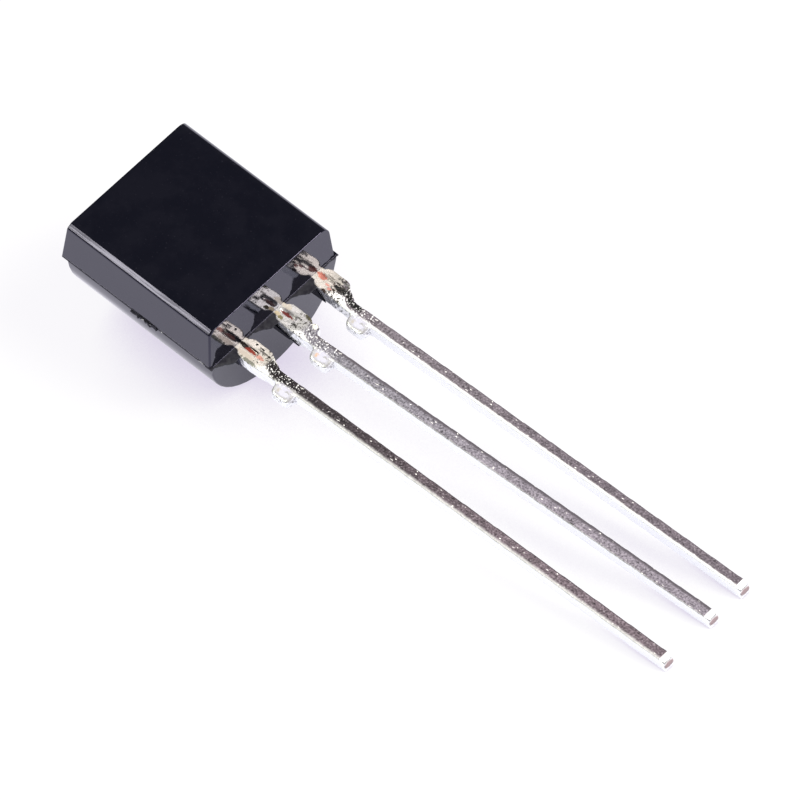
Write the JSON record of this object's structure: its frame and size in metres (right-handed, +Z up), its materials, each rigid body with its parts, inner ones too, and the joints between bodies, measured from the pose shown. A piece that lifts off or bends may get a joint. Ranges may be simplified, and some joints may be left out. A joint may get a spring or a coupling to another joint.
{
  "type": "to-92 transistor",
  "caption": "Small through-hole transistor: black epoxy moulding with a flat face and a round back, on long thin tinned leads in a row.",
  "frame": {"origin": "middle of the part's box, on the surface that it lies on", "axes": "+X along the leads towards their tips, +Y across them from pin 1 to pin 3, +Z up; the flat face looks up and leans 8.3 degrees towards the tips"},
  "size_m": [0.0174, 0.0042, 0.0041],
  "materials": {
    "epoxy": "black moulding compound, fine satin gloss",
    "tinned_lead": "bright tin plating with dark speckle, copper showing at the roots",
    "solder": "dull solder",
    "silicon": "polished grey-blue",
    "bond_wire": "bright gold"
  },
  "bodies": {
    "root": {"body": "epoxy", "emitter_lead": "tinned_lead", "base_lead": "tinned_lead", "collector_lead": "tinned_lead", "die_attach": "solder", "die": "silicon", "emitter_wire": "bond_wire", "base_wire": "bond_wire"}
  },
  "joints": []
}
